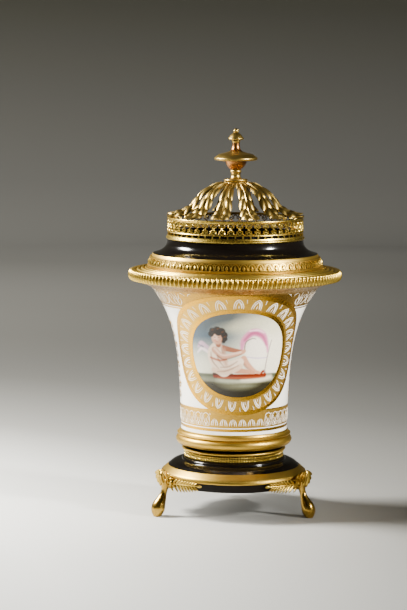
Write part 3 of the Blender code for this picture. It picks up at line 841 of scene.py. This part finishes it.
def collar():
    """The black-glazed shoulder over a gilt skirt, with a chased frieze of leaves in arches. Its inner
    edge rises behind the gallery's foot."""
    black, rise_top = 0, GALLERY_LOW + 6.4
    rise = [(60.95, rise_top + 0.2), (61.5, rise_top), (61.5, COLLAR_TOP), (63.6, COLLAR_TOP)]
    shoulder = smooth([(63.8, 23.2), (64.6, 20.2), (66.8, 17.2), (70.4, 14.7), (76.2, 12.5)], 5)
    skirt = [(77.0, 12.4), (77.5, 11.7), (78.3, 9.4), (78.7, 9.2), (79.0, 9.7), (79.6, 9.5), (79.7, 8.9)]
    skirt += [(79.2, 8.6), (80.9, 2.6), (81.4, 2.5), (81.9, 2.0), (COLLAR_RADIUS, 1.0), (81.7, 0)]
    inside = [(77.9, 0), (73.8, 8.8), (66.5, 12.0), (61, 17.2), (59.6, 25.1)]
    outline = rise + above(COLLAR_LOW, shoulder + skirt + inside) + [(60.4, COLLAR_TOP), (60.4, rise_top)]
    bm = turned(outline, closed=True)
    zone(bm, COLLAR_LOW - 1, COLLAR_LOW + 12.42, 76.4)
    zone(bm, COLLAR_LOW - 1, COLLAR_LOW + 12.1, inside=lambda height: 78 - 0.45 * (height - COLLAR_LOW),
         index=black)
    piece("collar_porcelain", bm, [BLACK, MATT], ["collar"])
    arch = both_sides([drawn([(3.1, 0.3, 0.3), (3.2, 2.6, 0.42), (2.2, 5.1, 0.45), (0.0, 6.1, 0.4)])])
    leaf = [(0.0, 0.4, 0.4), (0.0, 2.0, 1.25), (0.0, 3.4, 0.9), (0.0, 4.8, 0.25)]
    dots = [[(3.8, 5.0, 0.2), (3.8, 5.6, 0.55), (3.8, 6.2, 0.2)],
            [(3.8, 0.2, 0.2), (3.8, 1.2, 0.5), (3.8, 3.6, 0.15)]]
    unit = strokes(placed([*arch, leaf, *dots], 0, COLLAR_LOW + 2.4), thick=2.0, lift=0.2, squash=1.0)
    frieze = around(wrapped(unit, collar_wall, turn=0.0, radius=80.0), 66)
    piece("collar_frieze", frieze, [CHASED])


# ---------------------------------------------------------------- gallery, dome and finial

def link(place):
    """A small square-edged ring that lies flat in the drawing at a place."""
    square = ((-1, -1), (1, -1), (1, 1), (-1, 1))
    bm = turned([(1.35 + 0.4 * x, 0.5 * y) for x, y in square], 14, closed=True)
    bmesh.ops.translate(bm, vec=place, verts=bm.verts)
    return bm


def gallery():
    """The pierced gallery: a flared foot, small posts, interlaced rings and a wire rim."""
    wall, middle, facing = 62.9, GALLERY_LOW + 13.0, GALLERY_LOW + 12.8
    foot = [(61.8, 0), (63.8, 0)] + arc((FLANGE_RADIUS - 1.1, 1.3), 1.1, -60, 70, 6)
    foot += [(63.6, 3.2), (63.4, 4.3), (61.9, 4.3)]
    rail = [(62.1, 6.9), (63.5, 6.9), (63.7, 7.3), (63.5, 7.8), (62.1, 7.8)]
    wire = [(62.0, 18.2), (63.4, 18.2), (63.5, 18.7), (63.1, 19.0), (63.6, 19.4)]
    wire += arc((62.9, 19.8), 0.8, -20, 90, 4) + [(61.9, GALLERY_TOP - GALLERY_LOW)]
    bm = bmesh.new()
    for outline in (foot, rail, wire):
        added(bm, turned(above(GALLERY_LOW, outline), closed=True))
    post = bmesh.new()
    bmesh.ops.create_cube(post, size=1.0)
    bmesh.ops.scale(post, vec=(1.1, 1.3, 3.2), verts=post.verts)
    bmesh.ops.translate(post, vec=(0, -wall + 0.2, GALLERY_LOW + 5.6), verts=post.verts)
    added(bm, around(post, 56))
    # the inner faces take the darker bronze: painted shade inside the gallery
    inner_faces(bm, facing)
    piece("gallery_rails", bm, [BURNISHED, SHADED], ["gallery"])
    tall, wide = (2.05, 1.6), (2.95, 1.75)
    foil = []
    for turn in np.linspace(0, tau, 41):
        reach = 1.5
        for toward, (far, size) in zip((0, 0.5, 1, 1.5, 2), (tall, wide, tall, wide, tall)):
            swing = turn - toward * pi
            along, across = far * cos(swing), far * sin(swing)
            if abs(swing) < 1.2 and abs(across) < size:
                reach = max(reach, along + sqrt(size ** 2 - across ** 2))
        foil.append((reach * cos(turn), middle + reach * sin(turn), 0.0, 0.5))
    unit = bars([foil], 0)
    for height in (middle - 3.7, middle + 3.7):
        added(unit, link((pi * wall / 48, height, 0)))
    lattice = around(wrapped(unit, lambda height: wall, turn=0.0, radius=wall), 48)
    # the inner faces take the darker bronze: painted shade inside the gallery
    inner_faces(lattice, facing)
    piece("gallery_lattice", lattice, [BURNISHED, SHADED])


LEAF_SPINE = above(BUTTON_TOP, smooth([
    (9.0, -5.3), (18.6, -6.5), (32.6, -14.9), (40.5, -24.9), (48.5, -30.7), (57.0, -33.5),
    (65.4, -34.0)], 10))


def on_spine(share):
    """Point and outward direction on the leaf's spine, at a share of its length."""
    place = min(max(share, 0.0), 0.9999) * (len(LEAF_SPINE) - 1)
    at = int(place)
    start, end = Vector(LEAF_SPINE[at]), Vector(LEAF_SPINE[at + 1])
    along = (end - start).normalized()
    return start.lerp(end, place - at), Vector((-along.y, along.x))


def dome():
    """Twelve chased bronze leaves that spring from a button and end over the gallery."""
    lobes = 6.0
    leaf = bmesh.new()
    bmesh.ops.create_grid(leaf, x_segments=26, y_segments=150, size=1.0)
    for vert in leaf.verts:
        side, share = vert.co.x, (vert.co.y + 1) / 2
        swing = share * lobes - 0.4 * abs(side) ** 1.3
        swell = abs(sin(pi * swing)) ** 0.75
        edge = sin(pi * min(1.0, max(0.0, (abs(side) - 0.10) / 0.92))) ** 0.7
        taper = 1 - 0.94 * step_up(share, 0.76, 1.0) ** 1.2
        half = (2.4 + 7.0 * share ** 0.8) * taper * (0.86 + 0.16 * swell)
        (reach, height), out = on_spine(share)
        lobe = (1.1 + 1.7 * share ** 0.6) * swell * edge
        rib = (0.7 + 0.6 * share) * exp(-(side / 0.08) ** 2)
        lift = (lobe + rib - 1.6 * side * side * share) * taper
        spread = half * side / reach
        place = reach + out.x * lift
        vert.co = (place * sin(spread), -place * cos(spread), height + out.y * lift)
    leaf.normal_update()
    bmesh.ops.solidify(leaf, geom=leaf.faces[:], thickness=0.9)
    bmesh.ops.recalc_face_normals(leaf, faces=leaf.faces)
    # the leaves' inner faces take the darker bronze: painted shade under them
    inner_faces(leaf, GALLERY_LOW + 6.0)
    swung(leaf, 15)
    button = [(0, -5.7), (9.8, -5.5)] + arc((9.9, -4.0), 1.5, -90, 60, 7)
    button += [(10.2, -2.3), (10.9, -2.0)] + arc((10.0, -1.0), 1.0, -10, 90, 4) + [(0, 0)]
    bm = added(around(leaf, 12), turned(above(BUTTON_TOP, button), SMALL))
    piece("dome_leaves", bm, [LEAFY, SHADED], ["leaf_dome"], sharp=70)


def finial():
    """The turned finial: foot, cup, saucer, waisted stem, bell and a small ball."""
    outline = [(0, 0), (4.9, 0), (5.2, 0.8), (4.6, 1.4), (4.3, 3.3), (4.4, 5.0), (5.0, 5.7), (5.3, 6.6)]
    outline += [(5.1, 7.4), (4.7, 8.0), (5.0, 8.6)]
    outline += smooth([(5.2, 8.8), (6.9, 10.0), (8.7, 12.4), (9.7, 14.6), (10.3, 16.4)], 4)
    outline += [(11.6, 16.7), (17.4, 16.8)] + arc((18.6, 18.6), 1.6, -80, 55, 7)
    outline += smooth([
        (18.9, 20.4), (15.6, 22.6), (10.2, 24.0), (6.4, 25.3), (4.4, 27.2), (3.5, 30.1), (3.3, 33.4)], 5)
    outline += [(3.9, 34.2), (4.1, 35.0), (3.9, 35.7), (5.6, 36.0)] + arc((6.1, 37.1), 1.1, -50, 40, 4)
    outline += smooth([(6.8, 38.0), (5.4, 40.0), (3.8, 41.6), (2.7, 42.4)], 4)
    ball = arc((0, FINIAL_TOP - 2.5), 2.5, -42, 90, 12)
    ball[-1] = (0, FINIAL_TOP)
    bm = turned(above(FINIAL_LOW, outline) + ball, SMALL)
    # the cup under the saucer and the waisted stem take the reddish bronze: painted reflection of the gold
    # round them
    zone(bm, FINIAL_LOW + 8.4, FINIAL_LOW + 16.5)
    zone(bm, FINIAL_LOW + 25.6, FINIAL_LOW + 33.8)
    piece("finial_bronze", bm, [LEAFY, WARM_REFLECTION], ["finial"])


# ---------------------------------------------------------------- legs

def leaflet(place, along, out, length, width, thick):
    """A plump leaflet that starts at a place, points along and bulges out."""
    bm = bmesh.new()
    bmesh.ops.create_uvsphere(bm, u_segments=10, v_segments=8, radius=1.0)
    along = Vector(along).normalized()
    across = Vector(out).cross(along).normalized()
    face = along.cross(across)
    turn = Matrix((across, face, along)).transposed().to_4x4()
    size = Matrix.Diagonal((width / 2, thick, length / 2, 1.0))
    shift = Matrix.Translation(Vector(place) + along * length / 2)
    bmesh.ops.transform(bm, matrix=shift @ turn @ size, verts=bm.verts)
    return bm


# places of the finishes in a leg's list; the dark one is painted shade behind the wing's leaflets
CHASED_LEAVES, DARK_GROUND = 1, 2


def leg(node, turn):
    """A scrolled knee on a slender ankle and a drop-shaped foot, with a leafy wing each side."""
    line = smooth([
        (73.6, 42.0, 2.6), (75.2, 38.4, 4.4), (74.4, 33.4, 4.2), (73.6, 27.4, 3.4), (74.9, 21.4, 3.0),
        (77.0, 16.0, 4.4), (79.6, 10.7, 6.1), (80.9, 6.6, 6.4), (81.5, 2.6, 5.1), (81.8, -1.4, 2.4)], 6)
    bm = bars([[(0.0, -reach, height, size) for reach, height, size in line]], 7)
    cut = bmesh.ops.bisect_plane(bm, geom=bm.verts[:] + bm.edges[:] + bm.faces[:], plane_co=(0, 0, 0.02),
                                 plane_no=(0, 0, -1), clear_outer=True)
    bmesh.ops.edgeloop_fill(bm, edges=[e for e in cut["geom_cut"] if isinstance(e, bmesh.types.BMEdge)])
    for side in (-1, 0, 1):
        added(bm, leaflet((1.2 * side, -75.4 + abs(side), 22.5), (0.22 * side, -0.42, -1.0),
                          (0.9 * side, -1, 0.3), 16.0 - 3.0 * abs(side), 3.2, 1.6))
    added(bm, bars([[(0, -64.2, 28.6, 3.6), (0, -70, 28.8, 3.8), (0, -75, 30, 3.6)]], 4))
    leaves = bmesh.new()
    added(leaves, bars([[(0, -66, 32.6, 4.4), (0, -71, 33.4, 4.8), (0, -75, 35.5, 3.8)]], 4))
    for fan in range(-3, 4):
        a = radians(21 * fan)
        added(leaves, leaflet((2.4 * sin(a), -76.9 + 0.3 * abs(fan), 43.4),
                              (0.9 * sin(a), -0.1, -cos(a)), (0.9 * sin(a), -1, 0.1),
                              15.0 - 1.2 * abs(fan), 2.6, 2.4))
    for side in (-1, 1):
        spiral = []
        for t in np.linspace(0, 1, 30):
            a = radians(200 + 560 * t)
            coil = 3.8 - 2.8 * t
            spiral.append((side * (3.9 + 1.2 * t), -74.2 + coil * cos(a), 37.6 + coil * sin(a),
                           1.1 - 0.3 * t))
        added(leaves, bars([spiral], 1))
        wing(leaves, side)
    for face in leaves.faces:
        face.material_index = max(face.material_index, CHASED_LEAVES)
    added(bm, leaves)
    swung(bm, turn + 90)
    piece(node + "_bronze", bm, [LEG, CHASED, DARK], [node])


def wing(bm, side):
    """A feathered acanthus leaf that lies along the base's edge, from the knee towards +X or -X."""
    leaflets, reach, low, length = 9, 69.6, 31.4, radians(32)
    stem = []
    for t in np.linspace(0, 1, 16):
        a = length * (0.06 + 0.94 * t)
        stem.append((side * (reach + 1.6) * sin(a), -(reach + 1.6) * cos(a), low + 1.2 * t,
                     1.0 - 0.6 * t))
    added(bm, bars([stem], 2))
    curl = []
    for t in np.linspace(0, 1, 20):
        a = radians(90 - 470 * t)
        coil = 3.2 - 2.3 * t
        curl.append((side * (6.0 + coil * cos(a)), -reach - 2.6, low + 0.2 + coil * sin(a),
                     1.05 - 0.3 * t))
    added(bm, bars([curl], 1))
    # a near-black backing plate behind the leaflets: painted shade in the gaps between them
    plate = bars([[(x * 0.98, y * 0.98, z, 4.0 * sin(pi * (0.1 + 0.88 * i / 15)) ** 0.8)
                   for i, (x, y, z, _) in enumerate(stem)]], 2)
    for vert in plate.verts:
        away = hypot(vert.co.x, vert.co.y)
        squeeze = (reach - 1.2 + 0.15 * (away - reach)) / away
        vert.co.x, vert.co.y = vert.co.x * squeeze, vert.co.y * squeeze
    for face in plate.faces:
        face.material_index = DARK_GROUND
    added(bm, plate)
    for index in range(leaflets):
        t = (index / leaflets) ** 0.75
        a = length * (0.04 + 0.92 * t)
        out = Vector((side * sin(a), -cos(a), 0))
        along = Vector((side * cos(a), sin(a), 0))
        place = out * (reach + 1.0) + Vector((0, 0, low + 1.2 * t))
        size = 1.0 - 0.45 * t ** 2
        added(bm, leaflet(place, along + Vector((0, 0, -0.8)), out, 11.6 * size, 2.5 * size, 0.9))
        added(bm, leaflet(place, along + Vector((0, 0, 0.66)), out, 8.4 * size, 2.3 * size, 1.0))
    end = 0.96 * length
    out = Vector((side * sin(end), -cos(end), 0))
    added(bm, leaflet(out * (reach + 0.3) + Vector((0, 0, low + 1.1)),
                      (side * cos(end), sin(end), -0.05), out, 5.6, 2.8, 1.1))


vase_body()
panel_frame()
tongues()
lower_band()
upper_band()
garlands()
painting()
base()
ring()
rim()
collar()
gallery()
dome()
finial()
leg("leg_front_left", -150)
leg("leg_front_right", -30)
leg("leg_back", 90)


# ---------------------------------------------------------------- stage, light and camera

def stage():
    """A studio floor that sweeps up into a wall all round, with painted light in its colour: pale in a pool
    round a point in front of the burner on its left, darker away from it and darker up the wall.
    """
    outline = [(0, 0), (900, 0), (1500, 0), (2300, 0), (3000, 0)] + arc((3000, 900), 900, -88, 0, 16)
    outline += [(3900, 3600)]
    bm = turned(outline, 128)
    for face in bm.faces:
        face.normal_flip()
    floor = solid("studio_sweep", bm)
    material, shader, at = finish("studio_paper", {"Roughness": 0.85})
    # painted pool of light: the colour darkens with distance from this point, and then with height up the
    # wall
    pool = add(material, "VectorMath", {0: (at, "Object"), 1: (-0.9, -0.5, 0.0)},
               operation="DISTANCE")
    parts = add(material, "SeparateXYZ", {"Vector": (at, "Object")})
    tone = None
    for source, output, near, far, first, last in (
            (pool, "Value", 0.78, 1.16, "#dadad5", "#8f8e89"), (pool, "Value", 1.16, 1.5, None, "#767570"),
            (pool, "Value", 1.5, 1.9, None, "#706f6a"), (pool, "Value", 2.3, 3.1, None, "#7a7974"),
            (pool, "Value", 3.1, 3.5, None, "#8b8a85"),
            (parts, "Z", 0.0, 0.12, None, "#7c7b76"), (parts, "Z", 0.12, 0.56, None, "#525149")):
        share = add(material, "MapRange", {
            "Value": (source, output), "From Min": near, "From Max": far})
        tone = add(material, "Mix", {
            FACTOR: (share, "Result"), FIRST: linear(first) if first else (tone, MIXED),
            SECOND: linear(last)}, data_type="RGBA")
    drive(material, shader, Base_Color=(tone, MIXED))
    floor.data.materials.append(material)


MIDDLE = (0.0, 0.0, 0.16)  # the point that the lamps stand round, in metres


def lamp(name, azimuth, elevation, distance, size, power, aim=MIDDLE, cone=None, mirrored=True):
    """A soft lamp, placed by its azimuth from the front, towards +X, and its elevation. A lamp with a
    cone is a spot, narrowed so that it lights the burner and the floor behind it. One that isn't
    mirrored leaves no reflection of its own in the glaze and the gold."""
    data = bpy.data.lights.new(name, "SPOT" if cone else "AREA")
    if cone:
        data.spot_size, data.spot_blend, data.shadow_soft_size = radians(cone), 0.35, size[0] / 2
    else:
        data.shape = "ELLIPSE"
        data.size, data.size_y = size
    data.energy = power
    data.color = linear("#fffdf8")[:3]
    item = shown(name, data)
    a, e = radians(azimuth), radians(elevation)
    way = Vector((sin(a) * cos(e), -cos(a) * cos(e), sin(e)))
    item.location = Vector(MIDDLE) + way * distance
    item.visible_glossy = mirrored
    item.rotation_euler = (item.location - Vector(aim)).to_track_quat("Z", "Y").to_euler()


def lights():
    lamp("key_softbox", -99, 35, 0.86, (0.28, 0.28), 35.0)
    lamp("left_strip", -90, 14, 1.4, (0.3, 0.8), 36.0, mirrored=False)
    lamp("side_spot", 62, 25, 1.7, (0.24, 0.24), 330.0, aim=(-0.03, 0.0, 0.225), cone=15.5)
    lamp("low_fill", 30, 2, 2.3, (0.5, 0.3), 65.0, mirrored=False)
    lamp("wall_wash", 200, 40, 1.9, (1.0, 0.4), 52.0, aim=(-1.8, 2.6, 0.0), mirrored=False)
    world = bpy.data.worlds.new("dim_studio")
    world.use_nodes = True
    world.node_tree.nodes["Background"].inputs["Color"].default_value = linear("#8a8a86")
    world.node_tree.nodes["Background"].inputs["Strength"].default_value = 0.05
    bpy.context.scene.world = world


def camera():
    """A long lens, slightly above the burner, which stands right of the picture's middle."""
    data = bpy.data.cameras.new("camera")
    data.lens = 132.8
    data.sensor_width = 36.0
    data.clip_end = 20.0
    item = shown("camera", data)
    item.location = (0.0, -2.098, 0.425)
    down, left, roll = radians(6.3), radians(0.802), radians(0.35)
    item.rotation_euler = (
        Matrix.Rotation(left, 3, "Z") @ Matrix.Rotation(pi / 2 - down, 3, "X")
        @ Matrix.Rotation(roll, 3, "Z")).to_euler()
    bpy.context.scene.camera = item


stage()
lights()
camera()
